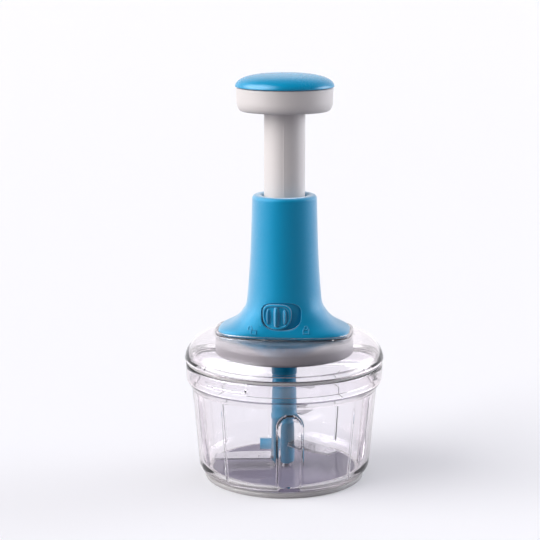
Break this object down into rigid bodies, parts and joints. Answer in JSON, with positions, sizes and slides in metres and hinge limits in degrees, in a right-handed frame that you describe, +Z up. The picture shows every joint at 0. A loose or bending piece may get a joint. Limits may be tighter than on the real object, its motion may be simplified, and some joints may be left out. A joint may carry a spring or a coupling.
{
  "type": "plunger food chopper",
  "caption": "Hand-pushed food chopper: a clear fluted bowl with blades on a shaft, and a lid whose sprung plunger turns them through a twisted rod.",
  "frame": {"origin": "centre of the foot ring's underside, on the table", "axes": "+Z up along the bowl, blades and plunger; -Y is the side with the lock slider"},
  "size_m": [0.131, 0.131, 0.2666],
  "materials": {
    "blue_plastic": "fine satin moulded blue",
    "blue_gloss": "polished blue",
    "grey_plastic": "satin warm grey",
    "clear_plastic": "clear polished moulding, faintly smoky",
    "smoke_rubber": "translucent smoky grip ring",
    "seal_rubber": "milky soft seal",
    "white_plastic": "natural bearing plastic",
    "blade_steel": "ground and brushed stainless",
    "bright_steel": "bright plated steel",
    "bush_brass": "sintered bronze-coloured bush"
  },
  "bodies": {
    "bowl": {"bowl": "clear_plastic", "foot_ring": "smoke_rubber", "pivot_pin": "bright_steel"},
    "seal_ring": {"lid_seal": "seal_rubber"},
    "lid": {"lid_shell": "clear_plastic", "mechanism_pan": "grey_plastic", "bearing_bush": "bush_brass", "thrust_washer": "bright_steel", "spring_washer": "bright_steel", "return_spring": "bright_steel", "housing": "blue_plastic", "plunger_guide": "white_plastic", "housing_screw_1": "bright_steel", "housing_screw_2": "bright_steel", "housing_screw_3": "bright_steel", "housing_screw_4": "bright_steel"},
    "plunger": {"plunger_tube": "grey_plastic", "drive_nut": "white_plastic", "nut_pin_1": "bright_steel", "nut_pin_2": "bright_steel", "push_pad": "grey_plastic", "push_cap": "blue_gloss", "pad_screw": "bright_steel"},
    "drive": {"spiral_rod": "bright_steel", "drive_coupler": "blue_plastic", "cross_pin": "bright_steel"},
    "blade_unit": {"blade_shaft": "blue_plastic", "blade_lower": "blade_steel", "blade_middle": "blade_steel", "blade_upper": "blade_steel"},
    "lock": {"lock_knob": "blue_plastic", "lock_latch": "white_plastic", "lock_screw": "bright_steel"}
  },
  "joints": [
    {"name": "lid_turn", "type": "hinge", "parent": "bowl", "child": "seal_ring", "pos_m": [0, 0, 0.0779], "axis": [0, 0, 1], "range_deg": [0, 28]},
    {"name": "lid_lift", "type": "slide", "parent": "seal_ring", "child": "lid", "axis": [0, 0, 1], "range_m": [0, 0.08]},
    {"name": "plunger_press", "type": "slide", "parent": "lid", "child": "plunger", "axis": [0, 0, -1], "range_m": [0, 0.05], "stiffness_N_per_m": 200, "springref_m": -0.02, "deforming": ["return_spring"]},
    {"name": "drive_turn", "type": "hinge", "parent": "lid", "child": "drive", "pos_m": [0, 0, 0.0837], "axis": [0, 0, -1], "range_deg": [0, 450.5]},
    {"name": "blade_turn", "type": "hinge", "parent": "seal_ring", "child": "blade_unit", "pos_m": [0, 0, 0.0088], "axis": [0, 0, -1], "range_deg": [0, 450.5]},
    {"name": "lock_slide", "type": "hinge", "parent": "lid", "child": "lock", "pos_m": [0, 0, 0.1123], "axis": [0, 0, 1], "range_deg": [0, 13.3]}
  ],
  "couplings": [
    {"joint": "drive_turn", "follows": "plunger_press", "rad_per_m": 157.08},
    {"joint": "blade_turn", "follows": "plunger_press", "rad_per_m": 157.08}
  ]
}
